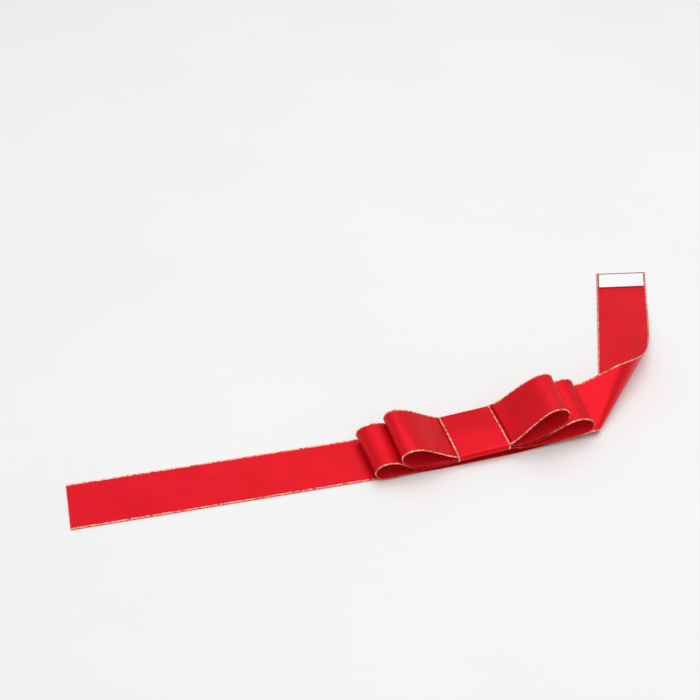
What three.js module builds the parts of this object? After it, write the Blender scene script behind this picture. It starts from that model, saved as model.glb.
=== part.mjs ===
// Ready-made gift bow: two tiers of flat ribbon loops under a centre band, glued on a self-adhesive strap.
// Millimetres, +Z up, +X along the bow, +Y across the ribbon from its front edge to its back edge.
// The origin is on the underside of the strap, below the middle of the bow.
import * as THREE from "three";

const { degToRad, lerp, smoothstep } = THREE.MathUtils;

// ---- driving dimensions ----
const RIBBON_WIDTH = 25;
const RIBBON_THICKNESS = 0.3;
const EDGE_WIDTH = 0.9; // metallic yarns woven into each long edge
const LAYER_GAP = 0.15; // air between layers that are pressed together
const END_GAP = 0.3; // air between the ends of two neighbouring stretches of ribbon
const HALF_WIDTH = RIBBON_WIDTH / 2;
const HALF_THICKNESS = RIBBON_THICKNESS / 2;

const BAND_HALF = 12; // the band reaches this far each way along X
const BAND_CORNER = 0.9; // radius of the band where it turns down beside the loops
const BAND_CORNER_STEPS = 6;
const LAP_HALF = 8; // the ends of a loop tier, and those of the band, lap this far past the middle
const PAD_HALF = 8; // glue pads are square
const LOOP_ROOT = BAND_HALF + 2 * END_GAP; // a loop starts here, just outside the band

// The pressed stack under the band, counted up from the strap.
const LAYERS = {
  strap: 0,
  strapGlue: 1,
  bandOuterLap: 2,
  bandInnerLap: 3,
  lowerEndLeft: 4,
  lowerEndRight: 5,
  lowerTop: 6,
  tierGlue: 7,
  upperEndLeft: 8,
  upperEndRight: 9,
  upperTop: 10,
  bandTop: 11,
};

const LEFT_TURN_X = -20; // left of here the strap lies at a slight angle to the bow
const LEFT_ANGLE = degToRad(3);
const LEFT_BEND = 35; // the left arm bends up here, measured from the turn
const TAIL_BEND = 95; // and its tail bends again here
const LEFT_LENGTH = 154.4; // from the turn to the cut end

const RISE_START_X = 14; // right of here the strap leaves the surface that it lies on
const RISE_FULL_X = 44;
const FRONT_LIFT = 2; // height of its front edge, which stays low
const LIFT_ROUNDING = 0.5;

// The right arm is folded under along a slanting line, in a roll that is part of a cone lying on its side.
const CONE_TIP = new THREE.Vector3(47.6, -18.5, HALF_THICKNESS);
const CONE_AZIMUTH = degToRad(51.2);
const CONE_HALF_ANGLE = degToRad(9.24);
const ARM_CURVE_X = 55.4; // the arm curves in its own plane from here
const ARM_CURVE_RADIUS = 64.5;
const ARM_CURVE_ANGLE = degToRad(7.7);
const ARM_BEND_SLANT = 0.12; // the line where the right end bends up leans this much off square
const FLAP_BEND = 100; // the flap bends up here, measured from where the arm starts to curve
const FLAP_END = 122.3; // middle of the cut end
const FLAP_CUT = Math.tan(degToRad(14.5)); // the cut end leans this much off square
const TAPE_MARGIN = 0.9; // the tape and its liner stop short of the cut end and of both edges
const TAPE_LENGTH = 11.5;
const TAPE_THICKNESS = 0.12;

// Side view of a loop's centre line at each edge of the ribbon, as for a loop on the +X side: up from the
// band at rise, over crest, round tip and back in along heel, which slopes by frontSlope or backSlope.
// climb and shoulder are the handles of the curve from rise to crest.
const LOOPS = [
  {
    name: "lower_loop_left",
    side: -1,
    top: LAYERS.lowerTop,
    bottom: LAYERS.lowerEndLeft,
    front: { rise: [28, 2.95], climb: [34, 2.95], shoulder: 37, crest: [43.4, 9], tip: [48.9, 5.2] },
    back: { rise: [27, 3.3], climb: [34, 4.4], shoulder: 35.5, crest: [43.5, 9.6], tip: [49.8, 5.4] },
    heels: { front: [43.6, 0.95], back: [44.2, 0.95], frontSlope: 0, backSlope: 0 },
  },
  {
    name: "lower_loop_right",
    side: 1,
    top: LAYERS.lowerTop,
    bottom: LAYERS.lowerEndRight,
    front: { rise: [14, 2.85], climb: [28, 3.2], shoulder: 36.5, crest: [43.9, 12.4], tip: [51.6, 7.4] },
    back: { rise: [14, 2.85], climb: [27, 3.6], shoulder: 39.5, crest: [47, 14.4], tip: [53.2, 11.2] },
    heels: { front: [44, 3], back: [46, 8.8], frontSlope: 0.06, backSlope: 0.2 },
  },
  {
    name: "upper_loop_left",
    side: -1,
    top: LAYERS.upperTop,
    bottom: LAYERS.upperEndLeft,
    front: { rise: [13, 5], climb: [19, 7], shoulder: 26, crest: [32.3, 13.8], tip: [37.5, 10.6] },
    back: { rise: [13, 5.1], climb: [19, 8.4], shoulder: 27.5, crest: [34, 15.3], tip: [37.6, 11.9] },
    heels: { front: [29.2, 4.2], back: [28.8, 5.1], frontSlope: 0.12, backSlope: 0.25 },
  },
  {
    name: "upper_loop_right",
    side: 1,
    top: LAYERS.upperTop,
    bottom: LAYERS.upperEndRight,
    front: { rise: [13, 5.2], climb: [19.5, 11.5], shoulder: 26.3, crest: [32.4, 21.2], tip: [38.2, 16.6] },
    back: { rise: [13, 5.2], climb: [19, 9.3], shoulder: 29, crest: [36.4, 19.7], tip: [41.2, 15.8] },
    heels: { front: [31.8, 9.5], back: [33, 11], frontSlope: 0.5, backSlope: 0.6 },
  },
];
const LOOP_STEPS = 9; // straight facets along each curve of a loop
const LOOP_STEPS_ACROSS = 2;
const ROUND = 0.5523; // handle length of a Bezier quarter circle

const RISE_STEPS = { along: 10, across: 4 };
const ARM_STEPS = { along: 36, across: 6 };
const FLAP_STEPS = { along: 4, across: 1 };

const FINISHES = {
  satin: { color: 0xcb1420, roughness: 0.42, metalness: 0 },
  gold: { color: 0xd8a860, roughness: 0.35, metalness: 0.8 },
  glue: { color: 0xe8e2d0, roughness: 0.4, metalness: 0 },
  tape: { color: 0xf2f0ea, roughness: 0.2, metalness: 0 },
  liner: { color: 0xf8f8f6, roughness: 0.3, metalness: 0 },
};

const bow = new THREE.Group();

function addMesh(name, geometry, finish) {
  const mesh = new THREE.Mesh(geometry, new THREE.MeshStandardMaterial(FINISHES[finish]));
  mesh.name = name;
  bow.add(mesh);
}

// Middle height of a layer of the pressed stack.
function layerHeight(layer) {
  return HALF_THICKNESS + layer * (RIBBON_THICKNESS + LAYER_GAP);
}

// The body of a ribbon between its two woven edges, and the edges: where each strip starts and ends.
const EDGE_START = HALF_WIDTH - EDGE_WIDTH;
const BODY_HALF = EDGE_START - LAYER_GAP;
const STRIPS = [
  { suffix: "", from: -BODY_HALF, to: BODY_HALF, finish: "satin" },
  { suffix: "_edge_front", from: -HALF_WIDTH, to: -EDGE_START, finish: "gold" },
  { suffix: "_edge_back", from: EDGE_START, to: HALF_WIDTH, finish: "gold" },
];

function extrude(outline, depth) {
  return new THREE.ExtrudeGeometry(new THREE.Shape(outline), { depth, bevelEnabled: false });
}

// ---- flat stretches, drawn from above ----

// line(across) gives the points of the stretch's path at that place across its width.
function sheet(line, from, to, bottom, thickness) {
  const geometry = extrude([...line(from), ...line(to).reverse()], thickness);
  return geometry.translate(0, 0, bottom);
}

function flatStretch(name, line) {
  for (const { suffix, from, to, finish } of STRIPS) {
    addMesh(name + suffix, sheet(line, from, to, 0, RIBBON_THICKNESS), finish);
  }
}

function layerPlate(name, layer, startX, endX, halfWidth, finish) {
  const line = (across) => [new THREE.Vector2(startX, across), new THREE.Vector2(endX, across)];
  const bottom = layerHeight(layer) - HALF_THICKNESS;
  addMesh(name, sheet(line, -halfWidth, halfWidth, bottom, RIBBON_THICKNESS), finish);
}

// ---- curved stretches ----

const NORMAL_STEP = 1e-3; // step for measuring a surface's direction

// A closed shell of even thickness about a surface. point(u, across) runs along the ribbon as u goes
// from 0 to 1.
function shell(point, from, to, steps, thickness) {
  const small = NORMAL_STEP;
  const across = (v) => lerp(from, to, v);
  const offset = (u, v, side) => {
    const alongU = point(u + small, across(v)).sub(point(u - small, across(v)));
    const alongV = point(u, across(v) + small).sub(point(u, across(v) - small));
    const normal = alongU.cross(alongV).normalize();
    return point(u, across(v)).addScaledVector(normal, (side * thickness) / 2);
  };
  const positions = [];
  const columns = steps.across + 1;
  const layerSize = (steps.along + 1) * columns;
  for (const side of [1, -1]) {
    for (let i = 0; i <= steps.along; i++) {
      for (let j = 0; j <= steps.across; j++) {
        positions.push(...offset(i / steps.along, j / steps.across, side));
      }
    }
  }
  const at = (i, j, under) => i * columns + j + (under ? layerSize : 0);
  const faces = [];
  const quad = (a, b, c, d) => faces.push(a, b, c, a, c, d);
  for (let i = 0; i < steps.along; i++) {
    for (let j = 0; j < steps.across; j++) {
      quad(at(i, j), at(i + 1, j), at(i + 1, j + 1), at(i, j + 1));
      quad(at(i, j, true), at(i, j + 1, true), at(i + 1, j + 1, true), at(i + 1, j, true));
    }
    quad(at(i, 0), at(i, 0, true), at(i + 1, 0, true), at(i + 1, 0));
    const last = steps.across;
    quad(at(i, last), at(i + 1, last), at(i + 1, last, true), at(i, last, true));
  }
  for (let j = 0; j < steps.across; j++) {
    quad(at(0, j), at(0, j + 1), at(0, j + 1, true), at(0, j, true));
    const end = steps.along;
    quad(at(end, j), at(end, j, true), at(end, j + 1, true), at(end, j + 1));
  }
  const geometry = new THREE.BufferGeometry();
  geometry.setAttribute("position", new THREE.Float32BufferAttribute(positions, 3));
  geometry.setIndex(faces);
  geometry.computeVertexNormals();
  return geometry;
}

function curvedStretch(name, point, steps) {
  for (const { suffix, from, to, finish } of STRIPS) {
    const across = suffix ? 1 : steps.across;
    addMesh(name + suffix, shell(point, from, to, { along: steps.along, across }, RIBBON_THICKNESS), finish);
  }
}

// ---- strap: middle, left arm and its tail ----

const LEFT_ALONG = new THREE.Vector2(-Math.cos(LEFT_ANGLE), Math.sin(LEFT_ANGLE));
const LEFT_ACROSS = new THREE.Vector2(Math.sin(LEFT_ANGLE), Math.cos(LEFT_ANGLE));

function leftPoint(along, across) {
  const point = new THREE.Vector2(LEFT_TURN_X, 0);
  return point.addScaledVector(LEFT_ALONG, along).addScaledVector(LEFT_ACROSS, across);
}

flatStretch("strap_centre", (across) => [
  leftPoint(LEFT_BEND - END_GAP / 2, across),
  new THREE.Vector2(LEFT_TURN_X + across * Math.tan(LEFT_ANGLE / 2), across),
  new THREE.Vector2(RISE_START_X - END_GAP / 2, across),
]);
flatStretch("strap_left_arm", (across) => [
  leftPoint(LEFT_BEND + END_GAP / 2, across),
  leftPoint(TAIL_BEND - END_GAP / 2, across),
]);
flatStretch("strap_left_tail", (across) => [
  leftPoint(TAIL_BEND + END_GAP / 2, across),
  leftPoint(LEFT_LENGTH, across),
]);

// ---- strap: the right arm, its slanting fold and the flap ----

// The cone touches the table along bottomLine and the plane of the arm along topLine.
const bottomLine = new THREE.Vector3(Math.cos(CONE_AZIMUTH), Math.sin(CONE_AZIMUTH), 0);
const coneOut = new THREE.Vector3(bottomLine.y, -bottomLine.x, 0);
const coneAxis = bottomLine.clone().applyAxisAngle(coneOut, CONE_HALF_ANGLE);
const coneUp = new THREE.Vector3().crossVectors(coneOut, coneAxis);
const topLine = coneAxis.clone().applyAxisAngle(coneOut, CONE_HALF_ANGLE);
const ARM_SLOPE = Math.tan(2 * CONE_HALF_ANGLE);
// Angle that the half cone takes up when it is laid out flat.
const UNROLLED = Math.PI * Math.sin(CONE_HALF_ANGLE);

// A place in the arm's plane, as distances from the cone's tip along topLine and along coneOut.
function inArmPlane(x, y) {
  const along = (x - CONE_TIP.x) * bottomLine.x + (y - CONE_TIP.y) * bottomLine.y;
  const out = (x - CONE_TIP.x) * coneOut.x + (y - CONE_TIP.y) * coneOut.y;
  return new THREE.Vector2(along / Math.cos(2 * CONE_HALF_ANGLE), out);
}

// Wraps the laid out ribbon round the cone: first the arm's plane, then the roll, then the table.
function wrap(flat) {
  const distance = flat.length();
  const angle = Math.atan2(flat.y, flat.x);
  const point = CONE_TIP.clone();
  if (angle < 0) {
    return point.addScaledVector(topLine, flat.x).addScaledVector(coneOut, flat.y);
  }
  if (angle < UNROLLED) {
    const turn = angle / Math.sin(CONE_HALF_ANGLE);
    const radius = distance * Math.sin(CONE_HALF_ANGLE);
    point.addScaledVector(coneAxis, distance * Math.cos(CONE_HALF_ANGLE));
    point.addScaledVector(coneUp, radius * Math.cos(turn));
    return point.addScaledVector(coneOut, radius * Math.sin(turn));
  }
  const past = angle - UNROLLED;
  point.addScaledVector(bottomLine, distance * Math.cos(past));
  return point.addScaledVector(coneOut, -distance * Math.sin(past));
}

const armStart = inArmPlane(ARM_CURVE_X, 0);
const armAlong = inArmPlane(ARM_CURVE_X + 1, 0).sub(armStart).normalize();
const armLeft = new THREE.Vector2(armAlong.y, -armAlong.x);

// A point of the strap, measured along it from ARM_CURVE_X: straight, a curve to its left, then straight.
function rightPoint(along, across) {
  const turned = THREE.MathUtils.clamp(along / ARM_CURVE_RADIUS, 0, ARM_CURVE_ANGLE);
  const straight = along - turned * ARM_CURVE_RADIUS;
  const ahead = armAlong.clone().multiplyScalar(Math.cos(turned)).addScaledVector(armLeft, Math.sin(turned));
  const aside = armLeft.clone().multiplyScalar(Math.cos(turned)).addScaledVector(armAlong, -Math.sin(turned));
  const flat = armStart.clone().addScaledVector(armAlong, ARM_CURVE_RADIUS * Math.sin(turned));
  flat.addScaledVector(armLeft, ARM_CURVE_RADIUS * (1 - Math.cos(turned)));
  return wrap(flat.addScaledVector(ahead, straight).addScaledVector(aside, across));
}

// Height of the strap's middle surface as it climbs from the pressed stack to the plane of the arm.
function riseHeight(x, y) {
  const plane = ARM_SLOPE * ((x - CONE_TIP.x) * bottomLine.x + (y - CONE_TIP.y) * bottomLine.y);
  const either = (plane + FRONT_LIFT + Math.hypot(plane - FRONT_LIFT, LIFT_ROUNDING)) / 2;
  return HALF_THICKNESS + either * smoothstep(x, RISE_START_X, RISE_FULL_X);
}

const armBend = (across) => across * ARM_BEND_SLANT;

function risePoint(u, across) {
  const end = rightPoint(armBend(across) - END_GAP, across);
  const x = lerp(RISE_START_X + END_GAP / 2, end.x, u);
  const y = lerp(across, end.y, u);
  return new THREE.Vector3(x, y, riseHeight(x, y));
}

const armPoint = (u, across) => rightPoint(lerp(armBend(across), FLAP_BEND - END_GAP, u), across);
const flapCut = (across) => FLAP_END + across * FLAP_CUT;
const flapPoint = (u, across) => rightPoint(lerp(FLAP_BEND, flapCut(across), u), across);

curvedStretch("strap_right_rise", risePoint, RISE_STEPS);
curvedStretch("strap_right_arm", armPoint, ARM_STEPS);
curvedStretch("strap_end_flap", flapPoint, FLAP_STEPS);

// The adhesive tape on the flap and its release liner, on the side that faces up.
const TAPE_HALF = HALF_WIDTH - TAPE_MARGIN;
const TAPE_LIFT = HALF_THICKNESS + LAYER_GAP + TAPE_THICKNESS / 2;
const LINER_LIFT = TAPE_LIFT + TAPE_THICKNESS + LAYER_GAP;

function tapePoint(lift) {
  return (u, across) => {
    const end = flapCut(across) - TAPE_MARGIN;
    const point = rightPoint(lerp(end - TAPE_LENGTH, end, u), across);
    return point.setZ(point.z + lift);
  };
}

function addTape(name, lift, finish) {
  addMesh(name, shell(tapePoint(lift), -TAPE_HALF, TAPE_HALF, FLAP_STEPS, TAPE_THICKNESS), finish);
}
addTape("end_adhesive_tape", TAPE_LIFT, "tape");
addTape("release_liner", LINER_LIFT, "liner");

// ---- the pressed stack under the band ----

const RING_END = BAND_HALF + END_GAP;
layerPlate("strap_glue_pad", LAYERS.strapGlue, -PAD_HALF, PAD_HALF, PAD_HALF, "glue");
layerPlate("lower_ring_end_left", LAYERS.lowerEndLeft, -RING_END, LAP_HALF, HALF_WIDTH, "satin");
layerPlate("lower_ring_end_right", LAYERS.lowerEndRight, -LAP_HALF, RING_END, HALF_WIDTH, "satin");
layerPlate("lower_ring_top", LAYERS.lowerTop, -RING_END, RING_END, HALF_WIDTH, "satin");
layerPlate("tier_glue_pad", LAYERS.tierGlue, -PAD_HALF, PAD_HALF, PAD_HALF, "glue");
layerPlate("upper_ring_end_left", LAYERS.upperEndLeft, -RING_END, LAP_HALF, HALF_WIDTH, "satin");
layerPlate("upper_ring_end_right", LAYERS.upperEndRight, -LAP_HALF, RING_END, HALF_WIDTH, "satin");
layerPlate("upper_ring_top", LAYERS.upperTop, -RING_END, RING_END, HALF_WIDTH, "satin");

// ---- the band: one strip wrapped round both tiers, with its ends lapped underneath ----

// The closed outline of a ribbon seen edge on, from the points of its centre line.
function edgeOn(points) {
  const side = (sign) =>
    points.map((point, i) => {
      const before = points[Math.max(i - 1, 0)];
      const after = points[Math.min(i + 1, points.length - 1)];
      const along = after.clone().sub(before).normalize();
      const normal = new THREE.Vector2(-along.y, along.x);
      return point.clone().addScaledVector(normal, sign * HALF_THICKNESS);
    });
  return [...side(1), ...side(-1).reverse()];
}

function bandCentreLine() {
  const reach = HALF_WIDTH + END_GAP + HALF_THICKNESS - BAND_CORNER;
  const top = layerHeight(LAYERS.bandTop) - BAND_CORNER;
  const inner = layerHeight(LAYERS.bandInnerLap);
  const outer = layerHeight(LAYERS.bandOuterLap);
  const quarter = Math.PI / 2;
  const path = new THREE.Path();
  path.moveTo(LAP_HALF, inner);
  path.absarc(-reach, inner + BAND_CORNER, BAND_CORNER, -quarter, -2 * quarter, true);
  path.absarc(-reach, top, BAND_CORNER, 2 * quarter, quarter, true);
  path.absarc(reach, top, BAND_CORNER, quarter, 0, true);
  path.absarc(reach, outer + BAND_CORNER, BAND_CORNER, 0, -quarter, true);
  path.lineTo(-LAP_HALF, outer);
  return path.getPoints(BAND_CORNER_STEPS);
}

const BAND_EDGE = BAND_HALF - EDGE_WIDTH;
const BAND_BODY = BAND_EDGE - LAYER_GAP;
const BAND_STRIPS = [
  { suffix: "", from: -BAND_BODY, to: BAND_BODY, finish: "satin" },
  { suffix: "_edge_left", from: -BAND_HALF, to: -BAND_EDGE, finish: "gold" },
  { suffix: "_edge_right", from: BAND_EDGE, to: BAND_HALF, finish: "gold" },
];
const acrossUpAlong = new THREE.Matrix4().makeBasis(
  new THREE.Vector3(0, 1, 0),
  new THREE.Vector3(0, 0, 1),
  new THREE.Vector3(1, 0, 0),
);
for (const { suffix, from, to, finish } of BAND_STRIPS) {
  const geometry = extrude(edgeOn(bandCentreLine()), to - from);
  addMesh("centre_band" + suffix, geometry.applyMatrix4(acrossUpAlong).translate(from, 0, 0), finish);
}

// ---- the loops ----

function loopCentreLine(loop, edge) {
  const { rise, climb, shoulder, crest, tip } = loop[edge];
  const heel = loop.heels[edge];
  const heelSlope = loop.heels[edge + "Slope"];
  const at = (x, z) => new THREE.Vector2(loop.side * x, z);
  const path = new THREE.CurvePath();
  const curve = (...points) => path.add(new THREE.CubicBezierCurve(...points));
  const third = (heel[0] - LOOP_ROOT) / 3;
  const over = lerp(crest[0], tip[0], ROUND);
  const under = lerp(heel[0], tip[0], ROUND);
  const top = layerHeight(loop.top);
  const bottom = layerHeight(loop.bottom);
  const outwards = (thirds) => lerp(LOOP_ROOT, rise[0], thirds / 3);
  curve(at(LOOP_ROOT, top), at(outwards(1), top), at(outwards(2), rise[1]), at(...rise));
  curve(at(...rise), at(...climb), at(shoulder, crest[1]), at(...crest));
  curve(at(...crest), at(over, crest[1]), at(tip[0], lerp(tip[1], crest[1], ROUND)), at(...tip));
  const underHandle = at(under, heel[1] + heelSlope * (under - heel[0]));
  curve(at(...tip), at(tip[0], lerp(tip[1], heel[1], ROUND)), underHandle, at(...heel));
  const heelHandle = at(heel[0] - third, heel[1] - heelSlope * third);
  curve(at(...heel), heelHandle, at(LOOP_ROOT + third, bottom), at(LOOP_ROOT, bottom));
  return path;
}

// A point of a loop: the ribbon runs straight across from its front edge to its back edge.
function loopPoint(loop) {
  const front = loopCentreLine(loop, "front").curves;
  const back = loopCentreLine(loop, "back").curves;
  return (u, across) => {
    const place = THREE.MathUtils.clamp(u, 0, 1) * front.length;
    const part = Math.min(Math.floor(place), front.length - 1);
    const ahead = front[part].getPoint(place - part);
    const behind = back[part].getPoint(place - part);
    const point = ahead.lerp(behind, across / RIBBON_WIDTH + 0.5);
    return new THREE.Vector3(point.x, across, point.y);
  };
}

for (const loop of LOOPS) {
  const curves = loopCentreLine(loop, "front").curves.length;
  curvedStretch(loop.name, loopPoint(loop), { along: curves * LOOP_STEPS, across: LOOP_STEPS_ACROSS });
}

export default bow;
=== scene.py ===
import math
from math import cos, hypot, pi, radians, sin, tan

import bpy
from mathutils import Matrix, Vector


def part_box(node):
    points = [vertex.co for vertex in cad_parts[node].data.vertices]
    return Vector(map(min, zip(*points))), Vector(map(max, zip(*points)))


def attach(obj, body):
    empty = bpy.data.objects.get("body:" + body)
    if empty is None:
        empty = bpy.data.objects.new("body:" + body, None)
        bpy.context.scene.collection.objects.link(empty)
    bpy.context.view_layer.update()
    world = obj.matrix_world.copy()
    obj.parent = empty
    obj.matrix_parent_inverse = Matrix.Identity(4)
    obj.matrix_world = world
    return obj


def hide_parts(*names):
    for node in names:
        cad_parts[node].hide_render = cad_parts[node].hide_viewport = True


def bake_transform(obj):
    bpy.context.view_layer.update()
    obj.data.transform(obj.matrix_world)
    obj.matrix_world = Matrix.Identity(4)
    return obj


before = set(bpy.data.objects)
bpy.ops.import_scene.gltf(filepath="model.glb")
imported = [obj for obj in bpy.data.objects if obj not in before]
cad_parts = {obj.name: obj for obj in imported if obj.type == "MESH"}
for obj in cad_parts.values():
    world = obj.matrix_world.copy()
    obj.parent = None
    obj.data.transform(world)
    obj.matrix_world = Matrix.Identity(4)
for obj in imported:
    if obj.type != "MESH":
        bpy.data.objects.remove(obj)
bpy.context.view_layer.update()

MM = 0.001

# ---- driving dimensions, as in the CAD model ----
RIBBON_WIDTH = 25.0
HALF_WIDTH = RIBBON_WIDTH / 2
THICKNESS = 0.28
HALF_THICKNESS = 0.15  # middle height of the lowest layer
LAYER_STEP = 0.45
BAND_HALF = 12.0
LOOP_ROOT = 12.2
LEFT_TURN_X = -20.0
LEFT_ANGLE = radians(3)
LEFT_BEND = 35.0
TAIL_BEND = 95.0
LEFT_LENGTH = 154.4
RISE_START_X = 14.0
RISE_FULL_X = 44.0
FRONT_LIFT = 2.0
LIFT_ROUNDING = 0.5
CONE_TIP = Vector((47.6, -18.5, HALF_THICKNESS))
CONE_AZIMUTH = radians(51.2)
CONE_HALF_ANGLE = radians(9.24)
ARM_CURVE_X = 55.4
ARM_CURVE_RADIUS = 64.5
ARM_CURVE_ANGLE = radians(7.7)
ARM_BEND_SLANT = 0.12
FLAP_BEND = 100.0
FLAP_END = 122.3
FLAP_CUT = tan(radians(14.5))
TAPE_MARGIN = 0.9
TAPE_LENGTH = 11.5
TAPE_THICKNESS = 0.12
STRAP_SPLIT = 44.0  # the strap's pieces meet here, hidden under the lower loops


def mix(a, b, t):
    return a + (b - a) * t


def smoothstep(x, low, high):
    t = min(max((x - low) / (high - low), 0.0), 1.0)
    return t * t * (3 - 2 * t)


# ---- camera ----
CAMERA_PLACE = Vector((-177.439, -341.881, 371.447))
CAMERA_FORWARD = Vector((0.2504, 0.7210, -0.6461)).normalized()
CAMERA_ROLL = radians(2.589)
SENSOR_WIDTH = 36.0
LENS = 62.25


def add_camera():
    data = bpy.data.cameras.new("camera")
    data.sensor_width = SENSOR_WIDTH
    data.lens = LENS
    camera = bpy.data.objects.new("camera", data)
    bpy.context.scene.collection.objects.link(camera)
    level = CAMERA_FORWARD.cross(Vector((0, 0, 1))).normalized()
    right = Matrix.Rotation(-CAMERA_ROLL, 3, CAMERA_FORWARD) @ level
    turn = Matrix((right, right.cross(CAMERA_FORWARD), -CAMERA_FORWARD)).transposed()
    camera.matrix_world = Matrix.Translation(CAMERA_PLACE * MM) @ turn.to_4x4()
    bpy.context.scene.camera = camera


add_camera()


# ---- materials ----
def new_material(name):
    material = bpy.data.materials.new(name)
    material.use_nodes = True
    tree = material.node_tree
    shader = tree.nodes["Principled BSDF"]
    return material, tree, shader


def node(tree, kind, **values):
    made = tree.nodes.new(kind)
    for key, value in values.items():
        if key in made.inputs:
            made.inputs[key].default_value = value
        else:
            setattr(made, key, value)
    return made


def maths(tree, operation, a, b=None):
    made = node(tree, "ShaderNodeMath", operation=operation)
    for socket, value in zip(made.inputs, (a, b)):
        if value is None:
            continue
        if isinstance(value, (int, float)):
            socket.default_value = value
        else:
            tree.links.new(value, socket)
    return made.outputs[0]


def weighted_sum(tree, first, first_weight, second, second_weight):
    a = maths(tree, "MULTIPLY", first, first_weight)
    b = maths(tree, "MULTIPLY", second, second_weight)
    return maths(tree, "ADD", a, b)


def spread(tree, value, width, middle):
    """Turns a value from 0 to 1 into one that varies by width about middle."""
    return maths(tree, "ADD", maths(tree, "MULTIPLY", value, width), middle - width / 2)


def set_bump(tree, shader, height, strength, distance):
    bump = node(tree, "ShaderNodeBump", Strength=strength, Distance=distance)
    tree.links.new(height, bump.inputs["Height"])
    tree.links.new(bump.outputs["Normal"], shader.inputs["Normal"])


def ramp(tree, factor, stops):
    made = node(tree, "ShaderNodeValToRGB")
    elements = made.color_ramp.elements
    while len(elements) < len(stops):
        elements.new(0.5)
    for element, (position, colour) in zip(elements, stops):
        element.position = position
        element.color = (*colour, 1)
    tree.links.new(factor, made.inputs["Fac"])
    return made.outputs["Color"]


# Pitches in metres, as the ribbons' UVs are.
WARP_PITCH = 0.00016
WEFT_PITCH = 0.00022
FLOAT_SCALE = (90, 5200, 1)  # noise cells per metre, along and across: long thin threads
SATIN_SETTINGS = {
    "Anisotropic": 0.8,
    "Anisotropic Rotation": 0.25,
    "Specular IOR Level": 0.4,
    "Specular Tint": (1.0, 0.15, 0.20, 1),
    "Sheen Weight": 0.06,
    "Sheen Roughness": 0.35,
    "Sheen Tint": (1.0, 0.16, 0.20, 1),
}


def satin(name, bright, deep, roughness, lustre, weave_depth):
    """Satin ribbon: long warp floats along the ribbon, fine weft ribs across it, and soft cloudy colour."""
    material, tree, shader = new_material(name)
    place = node(tree, "ShaderNodeUVMap", uv_map="ribbon").outputs["UV"]
    axes = node(tree, "ShaderNodeSeparateXYZ")
    tree.links.new(place, axes.inputs[0])
    along, across = axes.outputs["X"], axes.outputs["Y"]
    warp = maths(tree, "SINE", maths(tree, "MULTIPLY", across, 2 * pi / WARP_PITCH))
    weft = maths(tree, "SINE", maths(tree, "MULTIPLY", along, 2 * pi / WEFT_PITCH))
    stretched = node(tree, "ShaderNodeMapping")
    stretched.inputs["Scale"].default_value = FLOAT_SCALE
    tree.links.new(place, stretched.inputs["Vector"])
    floats = node(tree, "ShaderNodeTexNoise", Scale=1.0, Detail=3.0, Roughness=0.6)
    tree.links.new(stretched.outputs[0], floats.inputs["Vector"])
    clouds = node(tree, "ShaderNodeTexNoise", Scale=55.0, Detail=3.0, Roughness=0.5)
    tree.links.new(place, clouds.inputs["Vector"])
    blend = weighted_sum(tree, floats.outputs["Fac"], 0.45, clouds.outputs["Fac"], 0.55)
    tree.links.new(ramp(tree, blend, [(0.36, deep), (0.62, bright)]), shader.inputs["Base Color"])
    tree.links.new(spread(tree, floats.outputs["Fac"], 0.16, roughness), shader.inputs["Roughness"])
    height = weighted_sum(tree, warp, 0.5, weft, 0.25)
    height = maths(tree, "ADD", height, maths(tree, "MULTIPLY", floats.outputs["Fac"], 1.2))
    set_bump(tree, shader, height, weave_depth, 0.00004)
    # Light glances off the floats in a band across the ribbon: sharp along them and wide across them.
    tangent = node(tree, "ShaderNodeTangent", direction_type="UV_MAP", uv_map="ribbon")
    tree.links.new(tangent.outputs[0], shader.inputs["Tangent"])
    shader.inputs["Metallic"].default_value = lustre
    for socket, value in SATIN_SETTINGS.items():
        shader.inputs[socket].default_value = value
    return material


RED_FACE = satin(
    "satin_face",
    bright=(0.77, 0.009, 0.020),
    deep=(0.67, 0.005, 0.012),
    roughness=0.34,
    lustre=0.32,
    weave_depth=0.22,
)
RED_BACK = satin(
    "satin_back",
    bright=(0.79, 0.009, 0.020),
    deep=(0.69, 0.005, 0.012),
    roughness=0.50,
    lustre=0.12,
    weave_depth=0.40,
)

GOLD_CELLS = (1150, 2600, 1)  # flecks per metre, along the yarn and round it
GOLD_STOPS = [
    (0.0, (0.26, 0.02, 0.015)),
    (0.22, (0.45, 0.06, 0.03)),
    (0.36, (0.90, 0.40, 0.22)),
    (0.66, (0.98, 0.66, 0.42)),
    (1.0, (1.0, 0.93, 0.76)),
]
FOIL_FROM = 0.26  # flecks below this are red thread, not foil


def gold():
    """Metallic yarn: glinting cream-gold foil wound with peach thread, broken by dark gaps."""
    material, tree, shader = new_material("gold_yarn")
    place = node(tree, "ShaderNodeUVMap", uv_map="ribbon").outputs["UV"]
    stretched = node(tree, "ShaderNodeMapping")
    stretched.inputs["Scale"].default_value = GOLD_CELLS
    tree.links.new(place, stretched.inputs["Vector"])
    cells = node(tree, "ShaderNodeTexVoronoi", Scale=1.0)
    tree.links.new(stretched.outputs[0], cells.inputs["Vector"])
    channel = node(tree, "ShaderNodeSeparateColor")
    tree.links.new(cells.outputs["Color"], channel.inputs[0])
    foil = channel.outputs[0]
    tree.links.new(ramp(tree, foil, GOLD_STOPS), shader.inputs["Base Color"])
    metal = maths(tree, "MULTIPLY", maths(tree, "GREATER_THAN", foil, FOIL_FROM), 0.62)
    tree.links.new(metal, shader.inputs["Metallic"])
    tree.links.new(spread(tree, channel.outputs[1], 0.3, 0.33), shader.inputs["Roughness"])
    set_bump(tree, shader, foil, 0.6, 0.00008)
    return material


GOLD = gold()


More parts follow.
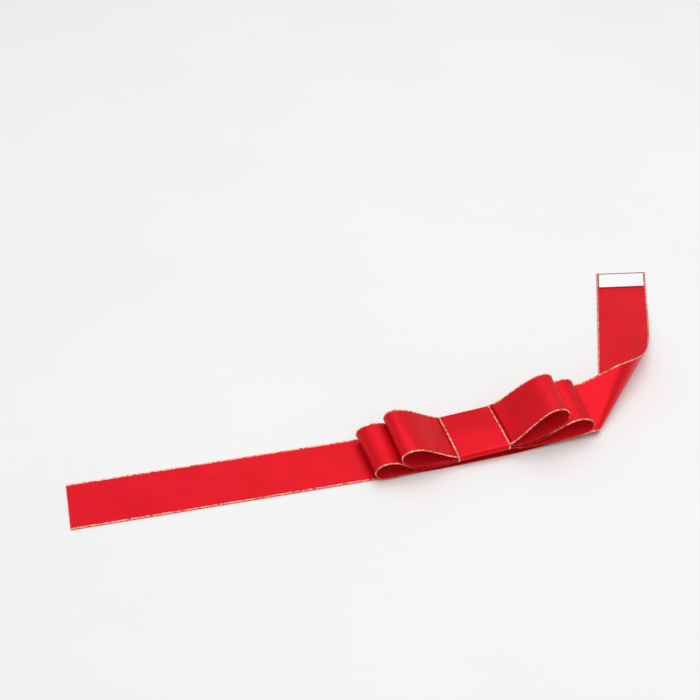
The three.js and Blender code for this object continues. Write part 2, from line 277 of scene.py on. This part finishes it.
def plain(name, light, dark, roughness, scale, bump_strength, transmission=0.0, coat=0.0):
    """Glue, adhesive, coated paper or the table: faint mottling in colour, roughness and height."""
    material, tree, shader = new_material(name)
    place = node(tree, "ShaderNodeTexCoord").outputs["Object"]
    noise = node(tree, "ShaderNodeTexNoise", Scale=scale, Detail=4.0, Roughness=0.6)
    tree.links.new(place, noise.inputs["Vector"])
    mottled = ramp(tree, noise.outputs["Fac"], [(0.35, dark), (0.65, light)])
    tree.links.new(mottled, shader.inputs["Base Color"])
    tree.links.new(spread(tree, noise.outputs["Fac"], 0.14, roughness), shader.inputs["Roughness"])
    set_bump(tree, shader, noise.outputs["Fac"], bump_strength, 0.00005)
    shader.inputs["Transmission Weight"].default_value = transmission
    shader.inputs["Coat Weight"].default_value = coat
    return material


GLUE = plain("hot_glue", (0.86, 0.83, 0.74), (0.74, 0.70, 0.58), 0.32, 400, 0.5, transmission=0.25)
# Clear adhesive, with the dull back of the red satin showing through it.
TAPE = plain("tape_film", (0.40, 0.10, 0.11), (0.30, 0.07, 0.08), 0.30, 900, 0.2, coat=0.3)
LINER = plain("liner_paper", (0.96, 0.96, 0.97), (0.90, 0.91, 0.94), 0.28, 1200, 0.15, coat=0.35)
FLOOR = plain("table_paper", (0.895, 0.891, 0.893), (0.88, 0.876, 0.878), 0.55, 9, 0.05)


# ---- the strap's surface ----
left_along = Vector((-cos(LEFT_ANGLE), sin(LEFT_ANGLE), 0))
left_across = Vector((sin(LEFT_ANGLE), cos(LEFT_ANGLE), 0))


def left_strap(along, across):
    """A point of the strap left of its slight turn; along is negative between the turn and the middle."""
    if along < 0:
        return Vector((LEFT_TURN_X - along, across, HALF_THICKNESS))
    start = Vector((LEFT_TURN_X, 0, HALF_THICKNESS))
    return start + left_along * along + left_across * across


bottom_line = Vector((cos(CONE_AZIMUTH), sin(CONE_AZIMUTH), 0))
cone_out = Vector((bottom_line.y, -bottom_line.x, 0))
cone_axis = Matrix.Rotation(CONE_HALF_ANGLE, 3, cone_out) @ bottom_line
cone_up = cone_out.cross(cone_axis)
top_line = Matrix.Rotation(CONE_HALF_ANGLE, 3, cone_out) @ cone_axis
UNROLLED = pi * sin(CONE_HALF_ANGLE)
ARM_SLOPE = tan(2 * CONE_HALF_ANGLE)


def in_arm_plane(x, y):
    """Distances from the cone's tip along top_line and along cone_out."""
    offset = Vector((x - CONE_TIP.x, y - CONE_TIP.y, 0))
    return Vector((offset.dot(bottom_line) / cos(2 * CONE_HALF_ANGLE), offset.dot(cone_out)))


def wrap(flat):
    """Wraps the laid out ribbon round the cone: the arm's plane, then the roll, then the table."""
    distance = flat.length
    angle = math.atan2(flat.y, flat.x)
    if angle < 0:
        return CONE_TIP + top_line * flat.x + cone_out * flat.y
    if angle < UNROLLED:
        turned = angle / sin(CONE_HALF_ANGLE)
        radius = distance * sin(CONE_HALF_ANGLE)
        middle = CONE_TIP + cone_axis * (distance * cos(CONE_HALF_ANGLE))
        return middle + cone_up * (radius * cos(turned)) + cone_out * (radius * sin(turned))
    past = angle - UNROLLED
    return CONE_TIP + bottom_line * (distance * cos(past)) - cone_out * (distance * sin(past))


arm_start = in_arm_plane(ARM_CURVE_X, 0)
arm_along = (in_arm_plane(ARM_CURVE_X + 1, 0) - arm_start).normalized()
arm_left = Vector((arm_along.y, -arm_along.x))


def right_strap(along, across):
    """A point of the strap measured from ARM_CURVE_X: straight, a curve to its left, then straight."""
    turned = min(max(along / ARM_CURVE_RADIUS, 0.0), ARM_CURVE_ANGLE)
    straight = along - turned * ARM_CURVE_RADIUS
    ahead = arm_along * cos(turned) + arm_left * sin(turned)
    aside = arm_left * cos(turned) - arm_along * sin(turned)
    flat = arm_start + arm_along * (ARM_CURVE_RADIUS * sin(turned))
    flat = flat + arm_left * (ARM_CURVE_RADIUS * (1 - cos(turned)))
    return wrap(flat + ahead * straight + aside * across)


def rise_height(x, y):
    """Height of the strap's middle surface as it climbs from the pressed stack to the plane of the arm."""
    plane = ARM_SLOPE * ((x - CONE_TIP.x) * bottom_line.x + (y - CONE_TIP.y) * bottom_line.y)
    either = (plane + FRONT_LIFT + hypot(plane - FRONT_LIFT, LIFT_ROUNDING)) / 2
    return HALF_THICKNESS + either * smoothstep(x, RISE_START_X, RISE_FULL_X)


def arm_bend(across):
    return across * ARM_BEND_SLANT


RISE_EASE = 0.9  # the last tenth of the rise eases into the arm


def rise(u, across):
    """From the pressed stack, where u is 0, to the arm's bend line, where u is 1."""
    end = right_strap(arm_bend(across), across)
    x = mix(RISE_START_X, end.x, u)
    y = mix(across, end.y, u)
    height = mix(rise_height(x, y), end.z, smoothstep(u, RISE_EASE, 1.0))
    return Vector((x, y, height))


def flap_cut(across):
    return FLAP_END + across * FLAP_CUT


# ---- meshes ----
ACROSS_STEPS = 20
RIM_STEP = 0.02  # width of the strips beside the rims, which keep their shading off the faces
NORMAL_STEP = 0.01  # step for measuring a surface's direction


def frange(start, end, count):
    return [mix(start, end, i / count) for i in range(count + 1)]


def surface_normal(point, s, w):
    along = point(s + NORMAL_STEP, w) - point(s - NORMAL_STEP, w)
    across = point(s, w + NORMAL_STEP) - point(s, w - NORMAL_STEP)
    return along.cross(across).normalized()


def add_object(name, vertices, faces, materials, indices, uvs, flat=()):
    """A mesh object from vertices in millimetres. Every face is smooth but those listed in flat."""
    mesh = bpy.data.meshes.new(name)
    mesh.from_pydata([v * MM for v in vertices], [], faces)
    layer = mesh.uv_layers.new(name="ribbon")
    for loop in mesh.loops:
        layer.data[loop.index].uv = uvs[loop.vertex_index]
    for material in materials:
        mesh.materials.append(material)
    mesh.polygons.foreach_set("material_index", indices)
    mesh.polygons.foreach_set("use_smooth", [i not in flat for i in range(len(faces))])
    mesh.update()
    made = bpy.data.objects.new(name, mesh)
    bpy.context.scene.collection.objects.link(made)
    return made


def with_rims(values, length_at):
    """The values with one more just inside each end."""

    def just_inside(end, neighbour):
        return mix(end, neighbour, RIM_STEP / abs(length_at(neighbour) - length_at(end)))

    first, last = just_inside(values[0], values[1]), just_inside(values[-1], values[-2])
    return [values[0], first, *values[1:-1], last, values[-1]]


def ribbon(name, point, stations, length_at, side=1, half_width=HALF_WIDTH, thickness=THICKNESS):
    """A closed ribbon of even thickness about point(s, w), with its satin face on the given side.

    length_at(s) is its length along the ribbon.
    """
    stations = with_rims(stations, length_at)
    across = with_rims(frange(-half_width, half_width, ACROSS_STEPS), lambda w: w)
    columns = len(across)
    vertices, uvs = [], []
    for out in (1, -1):
        for s in stations:
            for w in across:
                normal = surface_normal(point, s, w)
                vertices.append(point(s, w) + normal * (out * thickness / 2))
                uvs.append((length_at(s) * MM, w * MM))
    layer = len(stations) * columns
    faces, indices, flat = [], [], set()
    upper, under = (0, 1) if side == 1 else (1, 0)

    def rim(face):
        flat.add(len(faces))
        faces.append(face)
        indices.append(1)

    def at(i, j, under=False):
        return i * columns + j + (layer if under else 0)

    for i in range(len(stations) - 1):
        for j in range(columns - 1):
            faces.append((at(i, j), at(i + 1, j), at(i + 1, j + 1), at(i, j + 1)))
            faces.append((at(i, j, True), at(i, j + 1, True), at(i + 1, j + 1, True), at(i + 1, j, True)))
            indices += [upper, under]
        last = columns - 1
        rim((at(i, 0), at(i, 0, True), at(i + 1, 0, True), at(i + 1, 0)))
        rim((at(i, last), at(i + 1, last), at(i + 1, last, True), at(i, last, True)))
    for j in range(columns - 1):
        end = len(stations) - 1
        rim((at(0, j), at(0, j + 1), at(0, j + 1, True), at(0, j, True)))
        rim((at(end, j), at(end, j, True), at(end, j + 1, True), at(end, j + 1)))
    return add_object(name, vertices, faces, [RED_FACE, RED_BACK], indices, uvs, flat)


YARN_TURN = 1.1  # length of one turn of the metallic yarn's winding
YARN_STEPS = 6  # sections in each turn
YARN_SIDES = 8
YARN_INSET = 0.20  # from the ribbon's edge to the middle of the outer yarn
YARN_STEP = 0.33  # from the outer yarn to the inner one
YARN_WIDE = 0.16  # half its width
YARN_HIGH = 0.20  # half its height
YARN_TWIST = 0.22  # how far from round the winding makes it
YARN_SWELL = 0.13  # how much its thickness varies
YARN_SWELL_RATE = 1.7  # swellings in each turn
YARN_SWAY = 0.03
YARN_ROUND = 0.3  # scale of the UVs round a yarn
# Height of the yarns over the ribbon's middle: out of its satin face, nearly level, or pressed in.
YARN_RAISED = 0.09
YARN_EVEN = 0.04
YARN_SUNK = -0.09


def yarn(name, point, stations, length_at, w, out, lift_at):
    """Two metallic yarns side by side, wound together, along the ribbon's edge at w.

    out is 1 at the back edge and -1 at the front edge. lift_at(s) is their height over the ribbon's middle.
    """
    vertices, uvs, faces = [], [], []
    fine = refine(stations, length_at, YARN_TURN / YARN_STEPS)
    for strand in range(2):
        first = len(vertices)
        centre = w - out * (YARN_INSET + YARN_STEP * strand)
        for s in fine:
            length = length_at(s)
            middle = point(s, centre)
            normal = surface_normal(point, s, centre)
            sideways = (point(s, centre + NORMAL_STEP) - point(s, centre - NORMAL_STEP)).normalized()
            phase = 2 * pi * length / YARN_TURN + strand * pi
            swell = 1 + YARN_SWELL * sin(phase * YARN_SWELL_RATE + strand)
            sway = YARN_SWAY * sin(phase)
            lift = lift_at(s)
            for k in range(YARN_SIDES):
                a = 2 * pi * k / YARN_SIDES
                twist = 1 + YARN_TWIST * cos(2 * a - phase)
                wide = YARN_WIDE * swell * twist * cos(a) + sway
                high = YARN_HIGH * swell * twist * sin(a)
                vertices.append(middle + sideways * wide + normal * (high + lift))
                uvs.append((length * MM, (centre + YARN_ROUND * a) * MM))
        rows = len(fine)
        for i in range(rows - 1):
            for k in range(YARN_SIDES):
                a = first + i * YARN_SIDES + k
                b = first + i * YARN_SIDES + (k + 1) % YARN_SIDES
                faces.append((a, a + YARN_SIDES, b + YARN_SIDES, b))
        last = first + (rows - 1) * YARN_SIDES
        faces.append(tuple(first + k for k in range(YARN_SIDES)))
        faces.append(tuple(last + k for k in reversed(range(YARN_SIDES))))
    return add_object(name, vertices, faces, [GOLD], [0] * len(faces), uvs)


def refine(stations, length_at, step):
    """More stations between the given ones, so that they are no further apart than step along the ribbon."""
    fine = []
    for a, b in zip(stations, stations[1:]):
        count = max(1, math.ceil(abs(length_at(b) - length_at(a)) / step))
        fine += [mix(a, b, i / count) for i in range(count)]
    return fine + [stations[-1]]


def edged_ribbon(name, point, stations, length_at, side=1, raised=lambda s: YARN_RAISED):
    """A ribbon and the yarns along its two edges. raised(s) is how far they stand out of the satin face."""

    def lift_at(s):
        return side * raised(s)

    body = ribbon(name, point, stations, length_at, side)
    front = yarn(name + "_yarn_front", point, stations, length_at, -HALF_WIDTH, -1, lift_at)
    back = yarn(name + "_yarn_back", point, stations, length_at, HALF_WIDTH, 1, lift_at)
    return [body, front, back]


def ride_all(pieces, body):
    for piece in pieces:
        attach(piece, body)


def blend_all(pieces, body_a, body_b, start, end):
    for piece in pieces:
        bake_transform(piece)


# ---- strap pieces ----
def middle_point(x, across):
    """The strap from under the left loops to under the right loops."""
    if x < LEFT_TURN_X:
        return left_strap(LEFT_TURN_X - x, across)
    if x < RISE_START_X:
        return Vector((x, across, HALF_THICKNESS))
    return rise((x - RISE_START_X) / (ARM_CURVE_X - RISE_START_X), across)


PRESSED_TO = 36.0  # the loops press on the strap as far out as this
FREE_FROM = 43.0
middle = edged_ribbon(
    "strap_middle",
    middle_point,
    frange(-STRAP_SPLIT, STRAP_SPLIT, 60),
    lambda x: x,
    raised=lambda x: mix(YARN_SUNK, YARN_RAISED, smoothstep(abs(x), PRESSED_TO, FREE_FROM)),
)
ride_all(middle, "bow_core")

BEND_HALF = 1.3  # half the span about each bend place handed to blend_all; the stations lie close within 1.5 times this
BEND_STEPS = 30


def bend_stations(start, bend, end):
    """Stations from start to end, close together about bend and else about 1 mm apart."""
    low, high = bend - 1.5 * BEND_HALF, bend + 1.5 * BEND_HALF
    before = frange(start, low, math.ceil(low - start))
    after = frange(high, end, math.ceil(end - high))
    return before + frange(low, high, BEND_STEPS)[1:] + after[1:]


def blend_at_bend(pieces, body_a, body_b, point, bend):
    blend_all(pieces, body_a, body_b, point(bend - BEND_HALF, 0), point(bend + BEND_HALF, 0))


left_split = STRAP_SPLIT + LEFT_TURN_X
LEFT_MIDDLE = 65.0  # the left end's two pieces meet here
left_inner = edged_ribbon(
    "strap_left_inner",
    left_strap,
    bend_stations(left_split, LEFT_BEND, LEFT_MIDDLE),
    lambda s: LEFT_TURN_X - s,
    side=-1,
    raised=lambda s: YARN_EVEN,
)
blend_at_bend(left_inner, "bow_core", "left_arm", left_strap, LEFT_BEND)

left_outer = edged_ribbon(
    "strap_left_outer",
    left_strap,
    bend_stations(LEFT_MIDDLE, TAIL_BEND, LEFT_LENGTH),
    lambda s: LEFT_TURN_X - s,
    side=-1,
    raised=lambda s: YARN_EVEN,
)
blend_at_bend(left_outer, "left_arm", "left_tail", left_strap, TAIL_BEND)


def right_inner_point(x, across):
    """The strap from under the right loops to just past the line where its right end bends up."""
    u = (x - RISE_START_X) / (ARM_CURVE_X - RISE_START_X)
    if u < 1:
        return rise(u, across)
    return right_strap(arm_bend(across) + x - ARM_CURVE_X, across)


right_inner = edged_ribbon(
    "strap_right_inner",
    right_inner_point,
    frange(STRAP_SPLIT, ARM_CURVE_X, 24),
    lambda x: x,
)

# Two points just inside the line where the right end's two pieces meet, along a line square to it.
ARM_BEND_START = 2.8
ARM_BEND_END = 0.3
hinge_front, hinge_back = (right_strap(arm_bend(w), w) for w in (-HALF_WIDTH, HALF_WIDTH))
off_hinge = (hinge_back - hinge_front).normalized().cross(cone_out.cross(top_line)).normalized()
off_hinge *= math.copysign(1, off_hinge.x)
arm_split = right_strap(0, 0)
arm_bend_start = arm_split - off_hinge * ARM_BEND_START
arm_bend_end = arm_split - off_hinge * ARM_BEND_END
blend_all(right_inner, "bow_core", "right_arm", arm_bend_start, arm_bend_end)


def right_outer_point(u, across):
    """From the arm's bend line, where u is 0, round the roll to the flap's cut end, where u is 1."""
    return right_strap(mix(arm_bend(across), flap_cut(across), u), across)


FACE_UP_TO = 0.35  # the ribbon turns over in the roll between these two places
BACK_UP_FROM = 0.5
right_outer = edged_ribbon(
    "strap_right_outer",
    right_outer_point,
    frange(0, 1, 190),
    lambda u: ARM_CURVE_X + u * FLAP_END,
    raised=lambda u: mix(YARN_EVEN, -YARN_EVEN, smoothstep(u, FACE_UP_TO, BACK_UP_FROM)),
)
blend_at_bend(right_outer, "right_arm", "end_flap", right_strap, FLAP_BEND)

for strap_piece, nodes in (
    (middle, ["strap_centre"]),
    (left_inner, ["strap_left_arm"]),
    (left_outer, ["strap_left_tail"]),
    (right_inner, ["strap_right_rise"]),
    (right_outer, ["strap_right_arm", "strap_end_flap"]),
):
    for piece, suffix in zip(strap_piece, ("", "_edge_front", "_edge_back")):
        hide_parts(*[name + suffix for name in nodes])

# ---- the pressed layers ----
# The tiers sit a little higher on the strap at the right end of the band than at the left.
LIFT_LEFT = 0.55
LIFT_RIGHT = 1.85
FRONT_DROOP = 0.7  # the band pulls the front edges of the upper layers down by this much
DROOP_FROM = 2.0  # starting this far behind the middle
BAND_LAYER = 11  # the top of the band lies at this layer's height


def layer_height(layer):
    return HALF_THICKNESS + layer * LAYER_STEP


def pressed_lift(x):
    at_end = min(max(x, -LOOP_ROOT), LOOP_ROOT) / LOOP_ROOT
    return mix(LIFT_LEFT, LIFT_RIGHT, (at_end + 1) / 2)


def droop(y, z):
    return FRONT_DROOP * smoothstep(-y, -DROOP_FROM, HALF_WIDTH) * z / layer_height(BAND_LAYER)


# ---- loops ----
ROUND = 0.5523  # handle length of a Bezier quarter circle
LIFT_END = 19.0  # the loops are back at their own height this far out
ROOT_TUCK = 0.15  # the loop's ends run back to the band's edge
UPPER_ROOT = 4.95  # height where an upper loop comes out from under the band
LOOP_BEND_END = 17.0  # end of the span from the band that add_loop hands to blend_all
LOOP_CURVES = 5
LOOP_STEPS = 90
UPPER_FREE = (1.35, 1.65)  # a lower loop comes out from under the upper one between these two places


def raised_all_round(u):
    return YARN_RAISED


def raised_past_upper_loop(u):
    """The upper loop presses on a lower loop's yarns as far as the climb to its crest."""
    return mix(YARN_SUNK, YARN_RAISED, smoothstep(u, *UPPER_FREE))


# Side view of a loop's centre line at each edge of the ribbon, as for a loop on the +X side: up from the
# band at rise, over crest, round tip and back in along heel, which slopes by slope. climb and shoulder are
# the handles of the curve from rise to crest.
LOOPS = [
    {
        "name": "lower_loop_left",
        "bodies": ("bow_core", "lower_left"),
        "side": -1,
        "top": layer_height(6),
        "bottom": layer_height(4),
        "raised": raised_past_upper_loop,
        "front": {
            "rise": (28, 2.95), "climb": (34, 2.95), "shoulder": 37, "crest": (43.4, 9),
            "tip": (48.9, 5.2), "heel": (43.6, 0.95), "slope": 0,
        },
        "back": {
            "rise": (27, 3.3), "climb": (34, 4.4), "shoulder": 35.5, "crest": (43.5, 9.6),
            "tip": (49.8, 5.4), "heel": (44.2, 0.95), "slope": 0,
        },
    },
    {
        "name": "lower_loop_right",
        "bodies": ("bow_core", "lower_right"),
        "side": 1,
        "top": layer_height(6),
        "bottom": layer_height(5),
        "raised": raised_past_upper_loop,
        "front": {
            "rise": (14, 2.85), "climb": (28, 3.2), "shoulder": 36.5, "crest": (43.9, 12.4),
            "tip": (51.6, 7.4), "heel": (44, 3), "slope": 0.06,
        },
        "back": {
            "rise": (14, 2.85), "climb": (27, 3.6), "shoulder": 38.7, "crest": (45.9, 14.3),
            "tip": (51.8, 11.1), "heel": (45, 8.7), "slope": 0.2,
        },
    },
    {
        "name": "upper_loop_left",
        "bodies": ("lower_left", "upper_left"),
        "side": -1,
        "top": UPPER_ROOT,
        "bottom": layer_height(8),
        "raised": raised_all_round,
        "front": {
            "rise": (12.5, 4.98), "climb": (19, 7), "shoulder": 26, "crest": (32.3, 13.8),
            "tip": (37.5, 10.6), "heel": (29.2, 4.2), "slope": 0.12,
        },
        "back": {
            "rise": (12.5, 5.0), "climb": (19, 8.4), "shoulder": 27.5, "crest": (34, 15.3),
            "tip": (37.6, 11.9), "heel": (28.8, 5.1), "slope": 0.25,
        },
    },
    {
        "name": "upper_loop_right",
        "bodies": ("lower_right", "upper_right"),
        "side": 1,
        "top": UPPER_ROOT,
        "bottom": layer_height(9),
        "raised": raised_all_round,
        "front": {
            "rise": (12.5, 5.0), "climb": (19.5, 11.5), "shoulder": 26.3, "crest": (32.4, 21.2),
            "tip": (38.2, 16.6), "heel": (31.8, 9.5), "slope": 0.5,
        },
        "back": {
            "rise": (12.5, 5.0), "climb": (19, 9.3), "shoulder": 29, "crest": (36.4, 19.7),
            "tip": (41.2, 15.8), "heel": (33, 11), "slope": 0.6,
        },
    },
]


def loop_curves(loop, edge):
    """The loop's centre line seen from the side, as five cubic Bezier curves."""
    rise_at, climb, shoulder, crest, tip, heel, slope = loop[edge].values()
    top, bottom = loop["top"], loop["bottom"]
    third = (heel[0] - LOOP_ROOT) / 3
    over = mix(crest[0], tip[0], ROUND)
    under = mix(heel[0], tip[0], ROUND)
    root_step = (rise_at[0] - LOOP_ROOT) / 3
    return [
        [(LOOP_ROOT, top), (LOOP_ROOT + root_step, top), (LOOP_ROOT + 2 * root_step, rise_at[1]), rise_at],
        [rise_at, climb, (shoulder, crest[1]), crest],
        [crest, (over, crest[1]), (tip[0], mix(tip[1], crest[1], ROUND)), tip],
        [tip, (tip[0], mix(tip[1], heel[1], ROUND)), (under, heel[1] + slope * (under - heel[0])), heel],
        [heel, (heel[0] - third, heel[1] - slope * third), (LOOP_ROOT + third, bottom), (LOOP_ROOT, bottom)],
    ]


def bezier(points, t):
    a, b, c, d = points
    k = ((1 - t) ** 3, 3 * t * (1 - t) ** 2, 3 * t * t * (1 - t), t ** 3)
    return tuple(k[0] * a[i] + k[1] * b[i] + k[2] * c[i] + k[3] * d[i] for i in range(2))


def loop_point(loop):
    """The loop's surface. Curve k runs from u = k to k + 1, and the tucked ends lie past the curves."""
    front = loop_curves(loop, "front")
    back = loop_curves(loop, "back")
    side = loop["side"]

    def at(u, across):
        if u < 0 or u > len(front):
            part, t = (0, 0.0) if u < 0 else (len(front) - 1, 1.0)
            past = -u if u < 0 else u - len(front)
        else:
            part = min(int(u), len(front) - 1)
            t, past = u - part, 0.0
        a, b = bezier(front[part], t), bezier(back[part], t)
        v = across / RIBBON_WIDTH + 0.5
        x = mix(a[0], b[0], v) - past * ROOT_TUCK
        height = mix(a[1], b[1], v)
        pressed = 1 - smoothstep(x, LOOP_ROOT, LIFT_END)
        height += (pressed_lift(side * x) - droop(across, height)) * pressed
        return Vector((side * x, across, height))

    return at


def lengths_along(point, stations):
    """Length along the middle of the ribbon at each station, and a function that reads between them."""
    total, table = 0.0, [0.0]
    for a, b in zip(stations, stations[1:]):
        total += (point(b, 0) - point(a, 0)).length
        table.append(total)

    def at(s):
        for i in range(len(stations) - 1):
            if s <= stations[i + 1] or i == len(stations) - 2:
                t = (s - stations[i]) / (stations[i + 1] - stations[i])
                return mix(table[i], table[i + 1], t)

    return at, total


def add_loop(loop):
    name, side = loop["name"], loop["side"]
    point = loop_point(loop)
    stations = [-1.0] + frange(0, LOOP_CURVES, LOOP_STEPS) + [LOOP_CURVES + 1.0]
    length_at, total = lengths_along(point, stations)
    pieces = edged_ribbon(name + "_ribbon", point, stations, length_at, side, loop["raised"])
    bend_start = Vector((side * (LOOP_ROOT - ROOT_TUCK), 0, 0))
    bend_end = Vector((side * LOOP_BEND_END, 0, 0))
    blend_all(pieces, *loop["bodies"], bend_start, bend_end)
    for piece, suffix in zip(pieces, ("", "_edge_front", "_edge_back")):
        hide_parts(name + suffix)


for loop in LOOPS:
    add_loop(loop)

# ---- the flat layers under the band ----
LAYER_NODES = [
    "lower_ring_end_left",
    "lower_ring_end_right",
    "lower_ring_top",
    "upper_ring_end_left",
    "upper_ring_end_right",
    "upper_ring_top",
]


def flat_layer(name):
    low, high = (Vector(c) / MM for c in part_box(name))
    level_z = (low.z + high.z) / 2

    def point(x, across):
        return Vector((x, across, level_z + pressed_lift(x) - droop(across, level_z)))

    start, end = max(low.x, -BAND_HALF), min(high.x, BAND_HALF)
    piece = ribbon(name + "_ribbon", point, frange(start, end, 12), lambda x: x)
    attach(piece, "bow_core")
    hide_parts(name)


for name in LAYER_NODES:
    flat_layer(name)

# ---- the centre band ----
BAND_CORNER = 1.7
BAND_CORNER_STEPS = 10
LAP_HALF = 8.0  # the band's ends lap this far past the middle
band_reach = (Vector(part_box("centre_band")[1]) / MM).y - HALF_THICKNESS
band_top = layer_height(BAND_LAYER)
band_inner = layer_height(3)
band_outer = layer_height(2)


def band_path():
    """The band seen from its end: inner lap, up the front, over the top, down the back, outer lap."""
    path = [(LAP_HALF - i, band_inner) for i in range(int(LAP_HALF + band_reach - BAND_CORNER))]
    y0, y1 = -band_reach + BAND_CORNER, band_reach - BAND_CORNER

    def corner(y, z, start):
        for i in range(BAND_CORNER_STEPS + 1):
            a = start - pi / 2 * i / BAND_CORNER_STEPS
            path.append((y + BAND_CORNER * cos(a), z + BAND_CORNER * sin(a)))

    corner(y0, band_inner + BAND_CORNER, -pi / 2)
    corner(y0, band_top - BAND_CORNER, pi)
    path += [(y, band_top) for y in frange(y0, y1, 24)[1:-1]]
    corner(y1, band_top - BAND_CORNER, pi / 2)
    corner(y1, band_outer + BAND_CORNER, 0)
    path += [(y, band_outer) for y in frange(y1, -LAP_HALF, 18)[1:]]
    return path


path = band_path()
band_lengths = [0.0]
for a, b in zip(path, path[1:]):
    band_lengths.append(band_lengths[-1] + math.dist(a, b))


def on_path(s):
    """The path's point before s and how far s is past it, with s in steps along the path."""
    i = min(max(int(s), 0), len(path) - 2)
    return i, s - i


def band_point(s, across):
    i, t = on_path(s)
    y = mix(path[i][0], path[i + 1][0], t)
    z = mix(path[i][1], path[i + 1][1], t)
    x = -across * BAND_HALF / HALF_WIDTH
    return Vector((x, y, z + pressed_lift(x) - droop(y, z)))


def band_length(s):
    i, t = on_path(s)
    return mix(band_lengths[i], band_lengths[i + 1], t)


band = edged_ribbon("centre_band_ribbon", band_point, [float(i) for i in range(len(path))], band_length)
ride_all(band, "bow_core")
for piece, suffix in zip(band, ("", "_edge_left", "_edge_right")):
    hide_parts("centre_band" + suffix)

# ---- adhesive and liner ----
TAPE_SIDE = 0.75  # the adhesive lies between the yarns of the two edges
TAPE_PAST = 0.35  # it runs this much past the CAD tape towards the cut end
TAPE_LIFT = 0.36  # over the middle of the ribbon
LINER_LIFT = 0.63
ADHESIVE_RIM = 0.4  # the liner stops this much short of the adhesive at both sides
LINER_SHORT = 1.0  # and this much short of its end


def film(name, material, lift, rim, short, body, replaced):
    """A thin film on the flap, parallel to the flap's slanting end."""

    def point(s, across):
        inner_edge = flap_cut(across) - TAPE_MARGIN - TAPE_LENGTH
        return right_strap(inner_edge + s, across) + Vector((0, 0, lift))

    half = HALF_WIDTH - TAPE_SIDE - rim
    stations = frange(0, TAPE_LENGTH + TAPE_PAST - short, 16)
    made = ribbon(name, point, stations, lambda s: s, 1, half, TAPE_THICKNESS)
    for i in range(len(made.data.materials)):
        made.data.materials[i] = material
    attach(made, body)
    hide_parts(replaced)


film("adhesive_film", TAPE, TAPE_LIFT, 0, 0, "end_flap", "end_adhesive_tape")
film(
    "liner_strip", LINER, LINER_LIFT, ADHESIVE_RIM, LINER_SHORT, "liner", "release_liner"
)

for name in ("strap_glue_pad", "tier_glue_pad"):
    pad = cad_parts[name]
    pad.data.materials.clear()
    pad.data.materials.append(GLUE)

# ---- floor, world and lights ----
# Places and sizes in metres, power in watts.
FLOOR_SIZE = 6
FLOOR_HEIGHT = -0.0002
SOFTBOX_PLACE = (0.15, 0.1, 1.2)
SOFTBOX_SIZE = 1.35
SOFTBOX_POWER = 10.2
WORLD_STRENGTH = 0.55

bpy.ops.mesh.primitive_plane_add(size=FLOOR_SIZE)
floor = bpy.context.object
floor.name = "floor"
floor.location.z = FLOOR_HEIGHT
floor.data.materials.append(FLOOR)

world = bpy.data.worlds.new("studio")
bpy.context.scene.world = world
world.use_nodes = True
background = world.node_tree.nodes["Background"]
background.inputs["Color"].default_value = (1.0, 0.995, 0.99, 1)
background.inputs["Strength"].default_value = WORLD_STRENGTH
bpy.context.scene.view_settings.view_transform = "Standard"

light = bpy.data.lights.new("softbox", "AREA")
light.energy = SOFTBOX_POWER
light.size = SOFTBOX_SIZE
softbox = bpy.data.objects.new("softbox", light)
bpy.context.scene.collection.objects.link(softbox)
softbox.location = SOFTBOX_PLACE
softbox.rotation_euler = (-Vector(SOFTBOX_PLACE)).to_track_quat("-Z", "Y").to_euler()
